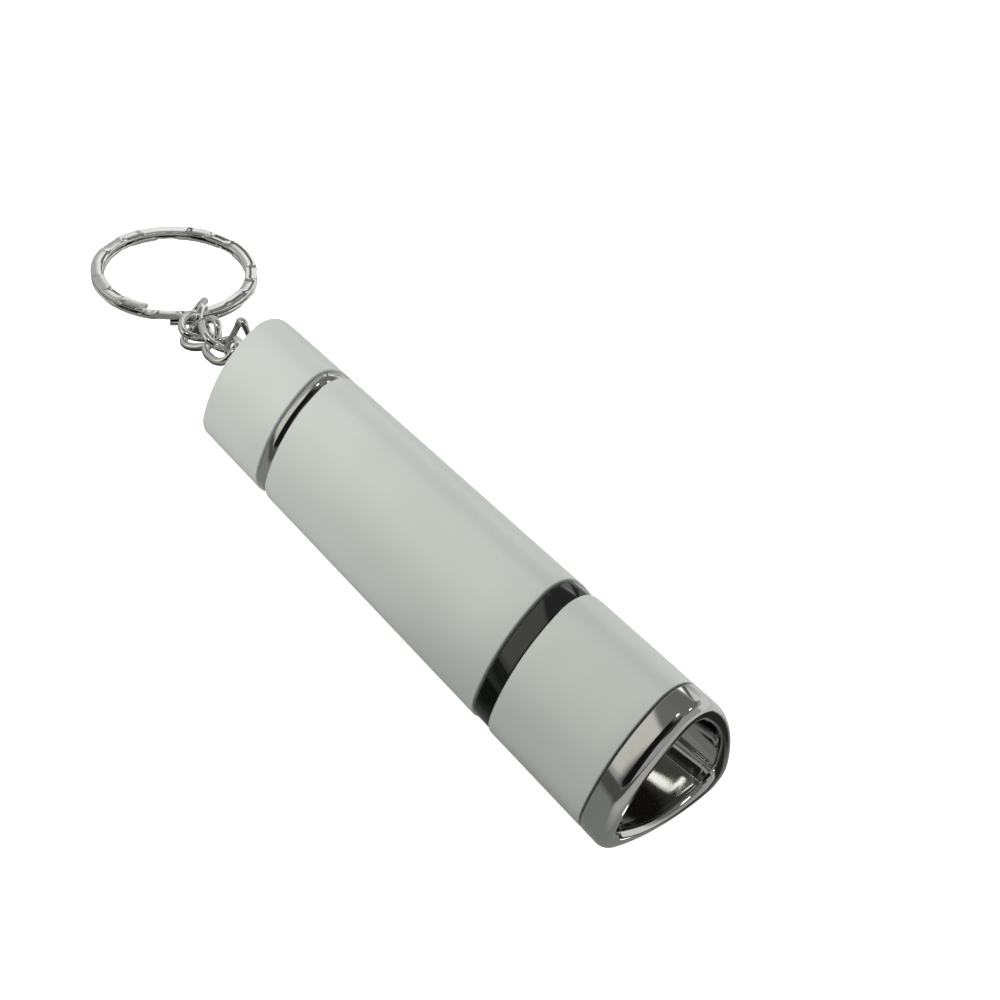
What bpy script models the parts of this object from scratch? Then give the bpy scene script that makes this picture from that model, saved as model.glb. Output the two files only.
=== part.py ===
"""Pull-out keychain flashlight and lantern.

Frame: metres, +Z up, +X towards the light.  The flashlight lies on one of its three sides, and the
origin is on the table under the middle of its body.  All sizes below are in millimetres.
"""
import math

import bmesh
import bpy
from mathutils import Matrix, Vector

MM = 0.001

# ---------------------------------------------------------------- driving dimensions
CORNER_REACH = 10.4      # centre line to the tip of a rounded corner
SIDE_REACH = 8.1         # centre line to the crown of a side
CORNER_RADIUS = 3.8
CORNER_STEPS = 6
SIDE_STEPS = 5           # odd, so that the middle of each side is a flat strip
WALL = 1.0               # wall of the three sleeves
GAP = 0.3                # clearance between pieces that touch or slide

TAIL_LENGTH = 14.1
REAR_RING_LENGTH = 2.4
MIDDLE_LENGTH = 44.0
COLLAR_LENGTH = 3.0
HEAD_LENGTH = 14.9
BEZEL_LENGTH = 3.7

TAIL_END = -40.9
TAIL_FRONT = TAIL_END + TAIL_LENGTH
MIDDLE_REAR = TAIL_FRONT + REAR_RING_LENGTH
MIDDLE_FRONT = MIDDLE_REAR + MIDDLE_LENGTH
HEAD_REAR = MIDDLE_FRONT + COLLAR_LENGTH
HEAD_FRONT = HEAD_REAR + HEAD_LENGTH
FRONT_END = HEAD_FRONT + BEZEL_LENGTH

HEAD_TRAVEL = 13.0       # how far the head pulls out to show the lantern tube

TUBE_RADIUS = 6.0        # clear lantern tube
TUBE_WALL = 1.0
TUBE_FRONT = 29.0
TUBE_REAR = -1.0
FLANGE_RADIUS = 6.7
FLANGE_FRONT = 2.5
O_RING_RADIUS = 0.35

CELL_RADIUS = 5.8        # LR44 button cell
CELL_HEIGHT = 5.4
CELL_COUNT = 4
FIRST_CELL_FRONT = -7.2

LED_RADIUS = 2.5
LED_REAR = 25.8
LED_LENGTH = 8.6

BAIL_WIRE = 0.45         # radii of the bail and link wires
LINK_WIRE = 0.6
BAIL_SWELL = 0.55        # extra share of the bail's thickness where its ends are joined
BAIL_SWELL_REACH = 2.2
LINK_LENGTH = 8.6        # outer length and width of a chain link
LINK_WIDTH = 5.8
LINK_TWIST = 0.4         # how far the long sides of a link bend out of its plane
LINK_FULLNESS = 0.8      # below 1 makes the ends of a link blunter than those of an ellipse

RING_RADIUS = 12.1       # middle of the split ring's flat wire
RING_BAND = 2.0          # width of that wire, seen from above
RING_THICKNESS = 0.75
RING_PITCH = 0.86        # rise of one turn
RING_TURNS = 1.95
RING_START = math.radians(206.0)
RING_CENTRE = (-82.0, 7.6, 3.75)
RING_TILT = math.radians(6.5)
RING_UPHILL = math.radians(123.0)

POST_HOLE = (-43.4, 0.0)           # X and Y of the upright hole in the tail post
CHAIN_POINTS = [                   # where each link bears on the next, from the bail to the ring
    (-51.6, 0.0, 7.5),
    (-54.78, 0.57, 6.58),
    (-60.12, 1.87, 5.6),
    (-62.93, 0.96, 3.92),
    (-67.52, 4.1, 3.05),
    (-70.99, 5.91, 2.65),
]
LINK_ROLLS = [-27.0, 44.0, 138.0, 26.0, 106.0]     # degrees from lying flat, one for each link


def side_arc_radius(reach, side, radius):
    """Radius of the side arcs that meet the corner arcs smoothly."""
    c = reach - radius
    return (radius**2 - c**2 - side**2 + c * side) / (c + 2 * radius - 2 * side)


SIDE_RADIUS = side_arc_radius(CORNER_REACH, SIDE_REACH, CORNER_RADIUS)
CORNER_OFFSET = CORNER_REACH - CORNER_RADIUS
SIDE_OFFSET = SIDE_RADIUS - SIDE_REACH
SIDE_HALF_ANGLE = math.asin(CORNER_OFFSET * math.sin(math.radians(60)) / (SIDE_RADIUS - CORNER_RADIUS))
STRIP_HALF_ANGLE = SIDE_HALF_ANGLE / SIDE_STEPS
AXIS_HEIGHT = SIDE_RADIUS * math.cos(STRIP_HALF_ANGLE) - SIDE_OFFSET


# ---------------------------------------------------------------- outlines
def section(inset):
    """Rounded triangle, apex up, moved inwards by inset: (y, z) points about the centre line."""
    points = []
    for k in range(3):
        corner = math.radians(90 + 120 * k)
        centre = (CORNER_OFFSET * math.cos(corner), CORNER_OFFSET * math.sin(corner))
        radius = CORNER_RADIUS - inset
        half = math.radians(60) - SIDE_HALF_ANGLE
        for i in range(CORNER_STEPS + 1):
            a = corner - half + 2 * half * i / CORNER_STEPS
            points.append((centre[0] + radius * math.cos(a), centre[1] + radius * math.sin(a)))
        side = corner + math.radians(60)
        centre = (-SIDE_OFFSET * math.cos(side), -SIDE_OFFSET * math.sin(side))
        radius = SIDE_RADIUS - inset
        for i in range(1, SIDE_STEPS):
            a = side - SIDE_HALF_ANGLE + 2 * SIDE_HALF_ANGLE * i / SIDE_STEPS
            points.append((centre[0] + radius * math.cos(a), centre[1] + radius * math.sin(a)))
    return points


def circle_like_section(radius):
    """Circle with its points in the same directions as those of the rounded triangle."""
    return [(radius * y / math.hypot(y, z), radius * z / math.hypot(y, z)) for y, z in section(0)]


def circle(radius, steps=32):
    """Plain circle as (y, z) points."""
    angles = [2 * math.pi * i / steps for i in range(steps)]
    return [(radius * math.cos(a), radius * math.sin(a)) for a in angles]


def blend(first, second, share):
    """Outline part of the way from the first to the second."""
    return [(a[0] + (b[0] - a[0]) * share, a[1] + (b[1] - a[1]) * share) for a, b in zip(first, second)]


# ---------------------------------------------------------------- scene helpers
def clear_scene():
    for obj in list(bpy.data.objects):
        bpy.data.objects.remove(obj, do_unlink=True)


def make_collection(name):
    collection = bpy.data.collections.new(name)
    bpy.context.scene.collection.children.link(collection)
    return collection


def make_material(name, colour, roughness, metallic=0.0):
    material = bpy.data.materials.new(name)
    material.use_nodes = True
    shader = material.node_tree.nodes["Principled BSDF"]
    shader.inputs["Base Color"].default_value = (*colour, 1.0)
    shader.inputs["Roughness"].default_value = roughness
    shader.inputs["Metallic"].default_value = metallic
    return material


def place(obj, material, collection, pivot=None):
    """Gives an object its material and collection, and hangs it on its joint's empty."""
    obj.data.materials.append(material)
    collection.objects.link(obj)
    if pivot is not None:
        obj.parent = pivot
        obj.location = obj.location - pivot.location
    return obj


def make_pivot(name, point, collection):
    """Empty on a joint's axis, at a point in millimetres."""
    pivot = bpy.data.objects.new(name, None)
    pivot.empty_display_size = 2 * MM
    pivot.location = Vector(point) * MM
    collection.objects.link(pivot)
    return pivot


def axial(x):
    """Location on the centre line at x."""
    return Vector((x, 0.0, AXIS_HEIGHT)) * MM


def prism(name, rear, front, outline, hole=None):
    """Flat outline, with an optional hole, drawn out along X from rear to front."""
    curve = bpy.data.curves.new(name, "CURVE")
    curve.dimensions = "2D"
    curve.fill_mode = "BOTH"
    curve.extrude = (front - rear) / 2 * MM
    for points in filter(None, (outline, hole)):
        spline = curve.splines.new("POLY")
        spline.points.add(len(points) - 1)
        spline.use_cyclic_u = True
        for target, (y, z) in zip(spline.points, points):
            target.co = (y * MM, z * MM, 0.0, 1.0)
    obj = bpy.data.objects.new(name, curve)
    obj.location = axial((rear + front) / 2)
    obj.rotation_euler = (math.radians(90), 0.0, math.radians(90))
    return obj


def turned(name, profile, steps=32, closed=False):
    """Turned piece: (x, radius) points from the front end down the outer side to the rear end."""
    origin = profile[0][0]
    mesh = bpy.data.meshes.new(name)
    vertices = [(radius * MM, 0.0, (x - origin) * MM) for x, radius in profile]
    edges = [(i, i + 1) for i in range(len(profile) - 1)]
    if closed:
        edges.append((len(profile) - 1, 0))
    mesh.from_pydata(vertices, edges, [])
    obj = bpy.data.objects.new(name, mesh)
    screw = obj.modifiers.new("Turn", "SCREW")
    screw.axis = "Z"
    screw.angle = 2 * math.pi
    screw.steps = steps
    screw.render_steps = steps
    screw.use_merge_vertices = True
    screw.merge_threshold = 0.00001
    screw.use_smooth_shade = False
    obj.location = axial(origin)
    obj.rotation_euler = (0.0, math.radians(90), 0.0)
    return obj


def wire(name, points, radius, closed=False, origin=(0.0, 0.0, 0.0), swell=None):
    """Round wire along a list of points in millimetres; swell gives each point's own thickness."""
    curve = bpy.data.curves.new(name, "CURVE")
    curve.dimensions = "3D"
    curve.bevel_depth = radius * MM
    curve.bevel_resolution = 2
    curve.use_fill_caps = not closed
    spline = curve.splines.new("POLY")
    spline.points.add(len(points) - 1)
    spline.use_cyclic_u = closed
    start = Vector(origin)
    for target, point in zip(spline.points, points):
        target.co = (*((Vector(point) - start) * MM), 1.0)
        if swell is not None:
            target.radius = swell(point)
    obj = bpy.data.objects.new(name, curve)
    obj.location = start * MM
    return obj


def loft(name, rings, origin):
    """Closed sleeve through a round of (x, outline) rings, the last one joined to the first."""
    bm = bmesh.new()
    loops = []
    for x, outline in rings:
        loops.append([bm.verts.new(((x - origin) * MM, y * MM, z * MM)) for y, z in outline])
    count = len(loops[0])
    for k, loop in enumerate(loops):
        following = loops[(k + 1) % len(loops)]
        for i in range(count):
            j = (i + 1) % count
            bm.faces.new((loop[i], loop[j], following[j], following[i]))
    bmesh.ops.recalc_face_normals(bm, faces=bm.faces)
    mesh = bpy.data.meshes.new(name)
    bm.to_mesh(mesh)
    bm.free()
    obj = bpy.data.objects.new(name, mesh)
    obj.location = axial(origin)
    return obj


# ---------------------------------------------------------------- head
def build_reflector_bezel(material, collection, pivot):
    """Bright front rim and bowl in one moulding: rolled edge, lip, bowl and a neck round the LED."""
    skirt = GAP + WALL
    roll = 0.9
    shoulder = HEAD_FRONT + GAP
    roll_start = FRONT_END - roll
    land = 0.4
    lip_depth = 1.2
    bowl_front = FRONT_END - lip_depth
    bowl_rear = 30.0
    mouth = blend(section(1.9), circle_like_section(6.3), 0.3)
    neck_rear = 27.5
    rings = [
        (neck_rear, circle_like_section(4.2)),
        (bowl_rear + 0.6, circle_like_section(4.4)),
        (bowl_rear + 3.2, blend(circle_like_section(6.0), section(skirt), 0.25)),
        (bowl_rear + 4.8, section(skirt)),
        (shoulder, section(skirt)),
        (shoulder, section(0)),
    ]
    for i in range(4):
        a = math.radians(30 * i)
        rings.append((roll_start + roll * math.sin(a), section(roll * (1 - math.cos(a)))))
    rings.append((FRONT_END, section(roll + land)))
    rings.append((bowl_front, mouth))
    bowl_steps = 6
    neck = circle_like_section(3.3)
    for i in range(1, bowl_steps + 1):
        depth = i / bowl_steps
        share = 1 - math.sqrt(1 - depth)
        rings.append((bowl_front + (bowl_rear - bowl_front) * depth, blend(mouth, neck, share)))
    rings.append((neck_rear, neck))
    return place(loft("reflector_bezel", rings, HEAD_FRONT), material, collection, pivot)


def build_stop_collar(material, collection, pivot):
    """Gloss collar between head and middle sleeve, with a spigot inside the head sleeve."""
    bore = circle_like_section(TUBE_RADIUS + GAP)
    face = section(0.2)
    spigot = section(WALL + GAP)
    rings = [
        (MIDDLE_FRONT + GAP, bore),
        (MIDDLE_FRONT + GAP, face),
        (HEAD_REAR - GAP, face),
        (HEAD_REAR - GAP, spigot),
        (HEAD_REAR + 3.0, spigot),
        (HEAD_REAR + 3.0, bore),
    ]
    return place(loft("stop_collar", rings, HEAD_REAR), material, collection, pivot)


def build_head(materials, collection, pivot):
    build_reflector_bezel(materials["chrome"], collection, pivot)
    build_stop_collar(materials["black"], collection, pivot)
    sleeve = prism("head_sleeve", HEAD_REAR, HEAD_FRONT, section(0), section(WALL))
    place(sleeve, materials["aluminium"], collection, pivot)
    inner = TUBE_RADIUS - TUBE_WALL
    groove_rear = TUBE_REAR + 1.2
    groove_front = FLANGE_FRONT - 1.0
    tube_profile = [
        (TUBE_FRONT, inner),
        (TUBE_FRONT, TUBE_RADIUS),
        (FLANGE_FRONT, TUBE_RADIUS),
        (FLANGE_FRONT, FLANGE_RADIUS),
        (groove_front, FLANGE_RADIUS),
        (groove_front, TUBE_RADIUS),
        (groove_rear, TUBE_RADIUS),
        (groove_rear, FLANGE_RADIUS),
        (TUBE_REAR, FLANGE_RADIUS),
        (TUBE_REAR, inner),
    ]
    place(turned("lantern_tube", tube_profile, closed=True), materials["clear"], collection, pivot)
    middle = (groove_rear + groove_front) / 2
    centre_radius = TUBE_RADIUS + GAP + O_RING_RADIUS
    profile = [
        (middle + O_RING_RADIUS * math.cos(a), centre_radius + O_RING_RADIUS * math.sin(a))
        for a in [2 * math.pi * i / 8 for i in range(8)]
    ]
    place(turned("slide_o_ring", profile, closed=True), materials["rubber"], collection, pivot)


# ---------------------------------------------------------------- middle
def build_led(materials, collection):
    dome_centre = LED_REAR + LED_LENGTH - LED_RADIUS
    dome_steps = 6
    profile = [
        (dome_centre + LED_RADIUS * math.cos(a), LED_RADIUS * math.sin(a))
        for a in [math.radians(90) * i / dome_steps for i in range(dome_steps + 1)]
    ]
    profile += [
        (LED_REAR + 1.0, LED_RADIUS),
        (LED_REAR + 1.0, LED_RADIUS + 0.4),
        (LED_REAR, LED_RADIUS + 0.4),
        (LED_REAR, 0.0),
    ]
    place(turned("led", profile, steps=24), materials["clear"], collection)
    lead_gap = 1.27
    for name, y in (("led_lead_positive", lead_gap), ("led_lead_negative", -lead_gap)):
        ends = [(LED_REAR - GAP, y, AXIS_HEIGHT), (-4.7, y, AXIS_HEIGHT)]
        place(wire(name, ends, 0.25), materials["steel"], collection)


def build_electronics(materials, collection):
    holder_profile = [
        (LED_REAR - GAP, 3.2),
        (LED_REAR - GAP, 4.2),
        (-2.3, 4.2),
        (-2.3, 6.4),
        (-4.6, 6.4),
        (-4.6, 3.2),
    ]
    place(turned("led_holder", holder_profile, closed=True), materials["white"], collection)
    board_front = -5.0
    board_rear = -6.0
    board_radius = 6.2
    board_profile = [
        (board_front, 0.0),
        (board_front, board_radius),
        (board_rear, board_radius),
        (board_rear, 0.0),
    ]
    place(turned("circuit_board", board_profile), materials["board"], collection)
    bpy.ops.mesh.primitive_cube_add(size=1)
    resistor = bpy.context.object
    resistor.name = "resistor"
    resistor.data.name = "resistor"
    for vertex in resistor.data.vertices:
        vertex.co = Vector((vertex.co.x * 0.6, vertex.co.y * 1.2, vertex.co.z * 2.0)) * MM
    resistor.location = Vector((board_front + GAP + 0.3, 0.0, AXIS_HEIGHT + 2.0)) * MM
    resistor.users_collection[0].objects.unlink(resistor)
    place(resistor, materials["black"], collection)
    contact_radius = 2.0
    contact_profile = [
        (board_rear - GAP, 0.0),
        (board_rear - GAP, contact_radius),
        (board_rear - 0.9, contact_radius),
        (board_rear - 0.9, 0.0),
    ]
    place(turned("front_contact", contact_profile, steps=24), materials["brass"], collection)


def build_cells(materials, collection):
    for k in range(CELL_COUNT):
        front = FIRST_CELL_FRONT - k * (CELL_HEIGHT + GAP)
        rear = front - CELL_HEIGHT
        profile = [
            (front, 0.0),
            (front, CELL_RADIUS - 0.3),
            (front - 0.3, CELL_RADIUS),
            (rear + 0.9, CELL_RADIUS),
            (rear + 0.9, CELL_RADIUS - 0.8),
            (rear, CELL_RADIUS - 1.1),
            (rear, 0.0),
        ]
        place(turned(f"button_cell_{k + 1}", profile, steps=24), materials["steel"], collection)


def build_middle(materials, collection):
    sleeve = prism("middle_sleeve", MIDDLE_REAR, MIDDLE_FRONT, section(0), section(WALL))
    place(sleeve, materials["aluminium"], collection)
    bush_rear = FLANGE_FRONT + HEAD_TRAVEL + GAP
    bush = prism("guide_bush", bush_rear, MIDDLE_FRONT - GAP, section(WALL + GAP), circle(TUBE_RADIUS + GAP))
    place(bush, materials["black"], collection)
    build_led(materials, collection)
    build_electronics(materials, collection)
    build_cells(materials, collection)
    liner_rear = FIRST_CELL_FRONT - CELL_COUNT * (CELL_HEIGHT + GAP) - GAP
    liner = [
        (FIRST_CELL_FRONT, 6.1),
        (FIRST_CELL_FRONT, 6.6),
        (liner_rear, 6.6),
        (liner_rear, 6.1),
    ]
    place(turned("battery_tube", liner, closed=True), materials["white"], collection)
    bore = circle_like_section(6.9)
    ring_rings = [
        (TAIL_FRONT - 3.2, bore),
        (TAIL_FRONT - 3.2, circle_like_section(7.05)),
        (TAIL_FRONT - 2.6, section(WALL + GAP)),
        (TAIL_FRONT + GAP, section(WALL + GAP)),
        (TAIL_FRONT + GAP, section(0.35)),
        (MIDDLE_REAR - GAP, section(0.35)),
        (MIDDLE_REAR - GAP, bore),
    ]
    place(loft("rear_trim_ring", ring_rings, TAIL_FRONT), materials["chrome"], collection)


# ---------------------------------------------------------------- tail
def build_eyelet_post(materials, collection, cutters, pivot):
    """Rivet through the tail cap, with an upright hole for the bail."""
    head_radius = 2.1
    head_rear = TAIL_END - 4.2
    profile = [
        (TAIL_END + 3.2, 0.0),
        (TAIL_END + 3.2, 1.2),
        (TAIL_END - GAP, 1.2),
        (TAIL_END - GAP, head_radius),
        (head_rear + 0.5, head_radius),
        (head_rear, head_radius - 0.5),
        (head_rear, 0.0),
    ]
    post = turned("eyelet_post", profile, steps=24)
    place(post, materials["chrome"], collection, pivot)
    bpy.ops.mesh.primitive_cylinder_add(vertices=16, radius=0.75 * MM, depth=8 * MM)
    cutter = bpy.context.object
    cutter.name = "bail_hole_cutter"
    cutter.location = Vector((*POST_HOLE, AXIS_HEIGHT)) * MM
    cutter.hide_render = True
    cutter.display_type = "WIRE"
    cutter.users_collection[0].objects.unlink(cutter)
    cutters.objects.link(cutter)
    cut = post.modifiers.new("Bail hole", "BOOLEAN")
    cut.operation = "DIFFERENCE"
    cut.solver = "EXACT"
    cut.object = cutter


def build_contact_spring(materials, collection, pivot, front, rear):
    """Conical spring from the contact plate to the last cell."""
    turns = 5
    steps = 12
    points = []
    for i in range(turns * steps + 1):
        share = i / (turns * steps)
        a = 2 * math.pi * i / steps
        radius = 4.6 - 2.2 * share
        x = rear + (front - rear) * share
        points.append((x, radius * math.cos(a), AXIS_HEIGHT + radius * math.sin(a)))
    place(wire("contact_spring", points, 0.3), materials["steel"], collection, pivot)


def build_tail(materials, collection, cutters, pivot):
    sleeve = prism("tail_sleeve", TAIL_END, TAIL_FRONT, section(0), section(WALL))
    place(sleeve, materials["aluminium"], collection, pivot)
    cap_rear = TAIL_END + 0.1
    cap_front = cap_rear + 2.3
    cap = prism("tail_cap", cap_rear, cap_front, section(WALL + GAP), circle(1.5, steps=24))
    place(cap, materials["aluminium"], collection, pivot)
    build_eyelet_post(materials, collection, cutters, pivot)
    clip_rear = cap_front + GAP
    clip = [(clip_rear + 0.4, 1.5), (clip_rear + 0.4, 2.6), (clip_rear, 2.6), (clip_rear, 1.5)]
    place(turned("post_clip", clip, steps=24, closed=True), materials["steel"], collection, pivot)
    plate_rear = TAIL_END + 3.2 + GAP
    plate_front = plate_rear + 0.4
    plate = [(plate_front, 0.0), (plate_front, 5.4), (plate_rear, 5.4), (plate_rear, 0.0)]
    place(turned("contact_plate", plate), materials["brass"], collection, pivot)
    last_cell_rear = FIRST_CELL_FRONT - CELL_COUNT * CELL_HEIGHT - (CELL_COUNT - 1) * GAP
    build_contact_spring(materials, collection, pivot, last_cell_rear - 0.6, plate_front + 0.6)


# ---------------------------------------------------------------- bail, chain and ring
def round_corners(corners, radii, steps=5, straight=3):
    """Closed outline through corner points in a plane, each corner rounded by an arc-like curve."""
    points = []
    count = len(corners)
    for i, corner in enumerate(corners):
        here = Vector(corner)
        before = (Vector(corners[i - 1]) - here).normalized()
        after = (Vector(corners[(i + 1) % count]) - here).normalized()
        start = here + before * radii[i]
        end = here + after * radii[i]
        for k in range(steps + 1):
            s = k / steps
            points.append(tuple(start * (1 - s) ** 2 + here * 2 * s * (1 - s) + end * s**2))
        following = (i + 1) % count
        next_start = Vector(corners[following]) - after * radii[following]
        for k in range(1, straight):
            points.append(tuple(end + (next_start - end) * k / straight))
    return points


def build_bail(material, collection, pivot):
    """Upright wire loop through the hole of the tail post, thickened at the top where its ends join."""
    x, y = POST_HOLE
    top = (-48.0, 0.0, 14.9)
    corners = [(x, y, AXIS_HEIGHT - 3.3), (x, y, AXIS_HEIGHT + 3.1), top, (-52.2, 0.0, 7.3)]
    points = round_corners(corners, [1.2, 1.0, 1.6, 1.6])

    def swell(point):
        distance = (Vector(point) - Vector(top)).length
        return 1 + BAIL_SWELL * max(0.0, 1 - distance / BAIL_SWELL_REACH)

    bail = wire("bail", points, BAIL_WIRE, closed=True, origin=(x, y, AXIS_HEIGHT), swell=swell)
    place(bail, material, collection, pivot)


def link_points(length, width, twist, steps=32):
    """Twisted oval about its centre: (along, across, out of plane) points."""
    along = length / 2 - LINK_WIRE
    across = width / 2 - LINK_WIRE
    points = []
    for i in range(steps):
        a = 2 * math.pi * i / steps
        reach = abs(math.cos(a)) ** LINK_FULLNESS * math.copysign(1, math.cos(a))
        points.append((along * reach, across * math.sin(a), twist * math.sin(2 * a)))
    return points


def link_axes(start, end, roll):
    """Unit vectors along, across and out of the plane of a link."""
    along = (Vector(end) - Vector(start)).normalized()
    level = Vector((0, 0, 1)).cross(along).normalized()
    upward = along.cross(level)
    across = level * math.cos(roll) + upward * math.sin(roll)
    return along, across, along.cross(across)


def build_link(number, material, collection, pivot):
    start = CHAIN_POINTS[number - 1]
    end = CHAIN_POINTS[number]
    centre = (Vector(start) + Vector(end)) / 2
    along, across, out = link_axes(start, end, math.radians(LINK_ROLLS[number - 1]))
    points = []
    for u, v, w in link_points(LINK_LENGTH, LINK_WIDTH, LINK_TWIST):
        points.append(tuple(centre + along * u + across * v + out * w))
    link = wire(f"chain_link_{number}", points, LINK_WIRE, closed=True, origin=start)
    place(link, material, collection, pivot)


def flat_wire_profile(helpers):
    """Rounded rectangle that is swept round the split ring."""
    half_band = RING_BAND / 2
    half_height = RING_THICKNESS / 2
    cut = 0.2
    corners = [
        (half_band - cut, half_height),
        (half_band, half_height - cut),
        (half_band, cut - half_height),
        (half_band - cut, -half_height),
        (cut - half_band, -half_height),
        (-half_band, cut - half_height),
        (-half_band, half_height - cut),
        (cut - half_band, half_height),
    ]
    curve = bpy.data.curves.new("flat_wire_profile", "CURVE")
    curve.dimensions = "2D"
    spline = curve.splines.new("POLY")
    spline.points.add(len(corners) - 1)
    spline.use_cyclic_u = True
    for target, (x, y) in zip(spline.points, corners):
        target.co = (x * MM, y * MM, 0.0, 1.0)
    profile = bpy.data.objects.new("flat_wire_profile", curve)
    profile.hide_render = True
    profile.display_type = "WIRE"
    helpers.objects.link(profile)
    return profile


def build_split_ring(material, collection, helpers, pivot):
    """Two turns of flat wire, one lying on the other."""
    uphill = Vector((math.cos(RING_UPHILL), math.sin(RING_UPHILL), 0.0))
    level = Vector((-math.sin(RING_UPHILL), math.cos(RING_UPHILL), 0.0))
    slope = uphill * math.cos(RING_TILT) + Vector((0, 0, 1)) * math.sin(RING_TILT)
    normal = slope.cross(level)
    frame = Matrix((slope, level, normal)).transposed()
    offset = frame.inverted() @ (Vector(RING_CENTRE) - Vector(CHAIN_POINTS[-1]))
    steps = 96
    points = []
    for i in range(steps + 1):
        share = i / steps
        a = RING_START + 2 * math.pi * RING_TURNS * share
        lift = RING_PITCH * RING_TURNS * (share - 0.5)
        points.append(tuple(offset + Vector((RING_RADIUS * math.cos(a), RING_RADIUS * math.sin(a), lift))))
    ring = wire("split_ring", points, 0.0)
    ring.data.bevel_mode = "OBJECT"
    ring.data.bevel_object = flat_wire_profile(helpers)
    ring.data.twist_mode = "Z_UP"
    ring.location = Vector(CHAIN_POINTS[-1]) * MM
    ring.rotation_euler = frame.to_euler()
    place(ring, material, collection, pivot)


def build_chain(materials, collection, cutters):
    bail_pivot = make_pivot("bail_axis", (*POST_HOLE, AXIS_HEIGHT), collection)
    build_bail(materials["chrome"], collection, bail_pivot)
    for number in range(1, len(CHAIN_POINTS)):
        pivot = make_pivot(f"link_{number}_axis", CHAIN_POINTS[number - 1], collection)
        build_link(number, materials["chrome"], collection, pivot)
    ring_pivot = make_pivot("ring_axis", CHAIN_POINTS[-1], collection)
    build_split_ring(materials["chrome"], collection, cutters, ring_pivot)


def main():
    clear_scene()
    collection = make_collection("keychain_flashlight")
    cutters = make_collection("cutters")
    materials = {
        "aluminium": make_material("satin_aluminium", (0.56, 0.59, 0.56), 0.42, 1.0),
        "chrome": make_material("chrome", (0.78, 0.78, 0.76), 0.08, 1.0),
        "steel": make_material("steel", (0.62, 0.62, 0.62), 0.3, 1.0),
        "brass": make_material("brass", (0.75, 0.58, 0.28), 0.3, 1.0),
        "black": make_material("gloss_black", (0.02, 0.02, 0.02), 0.1),
        "rubber": make_material("black_rubber", (0.03, 0.03, 0.03), 0.7),
        "clear": make_material("clear_acrylic", (0.9, 0.92, 0.92), 0.1),
        "white": make_material("white_plastic", (0.8, 0.8, 0.78), 0.4),
        "board": make_material("circuit_board_green", (0.05, 0.25, 0.1), 0.5),
    }
    head_pivot = make_pivot("head_slide_axis", (0.0, 0.0, AXIS_HEIGHT), collection)
    tail_pivot = make_pivot("tail_slide_axis", (0.0, 0.0, AXIS_HEIGHT), collection)
    build_head(materials, collection, head_pivot)
    build_middle(materials, collection)
    build_tail(materials, collection, cutters, tail_pivot)
    build_chain(materials, collection, cutters)


main()
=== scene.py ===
"""Looks of the pull-out keychain flashlight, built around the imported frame.

Everything is in metres in the frame of the CAD: +X towards the light, +Z up, the table at z = 0.
Lengths below are in millimetres and are scaled by MM where a mesh is made.
"""
import math

import bmesh
import bpy
from mathutils import Matrix, Vector


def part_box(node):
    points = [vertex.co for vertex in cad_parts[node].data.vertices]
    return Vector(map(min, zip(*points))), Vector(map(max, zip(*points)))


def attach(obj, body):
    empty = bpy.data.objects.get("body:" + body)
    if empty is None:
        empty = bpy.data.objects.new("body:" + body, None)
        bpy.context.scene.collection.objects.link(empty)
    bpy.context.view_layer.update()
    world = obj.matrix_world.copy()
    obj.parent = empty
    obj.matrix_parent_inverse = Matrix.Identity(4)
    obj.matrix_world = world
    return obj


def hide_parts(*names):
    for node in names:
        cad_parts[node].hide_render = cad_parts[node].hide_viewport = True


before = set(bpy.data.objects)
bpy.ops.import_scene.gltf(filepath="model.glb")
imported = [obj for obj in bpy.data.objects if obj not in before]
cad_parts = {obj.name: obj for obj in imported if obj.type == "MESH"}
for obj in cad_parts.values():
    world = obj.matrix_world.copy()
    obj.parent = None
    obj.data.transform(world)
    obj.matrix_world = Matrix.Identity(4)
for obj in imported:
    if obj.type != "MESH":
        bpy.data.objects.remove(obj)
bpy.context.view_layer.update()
MM = 0.001

# ---------------------------------------------------------------- section of the body
CORNER_REACH = 10.4
SIDE_REACH = 8.1
CORNER_RADIUS = 3.8
WALL = 1.0
GAP = 0.3
CORNER_OFFSET = CORNER_REACH - CORNER_RADIUS
SIDE_RADIUS = (CORNER_RADIUS**2 - CORNER_OFFSET**2 - SIDE_REACH**2 + CORNER_OFFSET * SIDE_REACH) / (
    CORNER_OFFSET + 2 * CORNER_RADIUS - 2 * SIDE_REACH
)
SIDE_OFFSET = SIDE_RADIUS - SIDE_REACH
SIDE_HALF_ANGLE = math.asin(CORNER_OFFSET * math.sin(math.radians(60)) / (SIDE_RADIUS - CORNER_RADIUS))


def node_box(name):
    """Lowest and highest corner of a CAD node, in millimetres."""
    low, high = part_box(name)
    return low / MM, high / MM


TAIL_END, TAIL_FRONT = node_box("tail_sleeve")[0].x, node_box("tail_sleeve")[1].x
MIDDLE_REAR, MIDDLE_FRONT = node_box("middle_sleeve")[0].x, node_box("middle_sleeve")[1].x
HEAD_REAR, HEAD_FRONT = node_box("head_sleeve")[0].x, node_box("head_sleeve")[1].x
FRONT_END = node_box("reflector_bezel")[1].x
AXIS_HEIGHT = node_box("middle_sleeve")[1].z - CORNER_REACH


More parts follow.
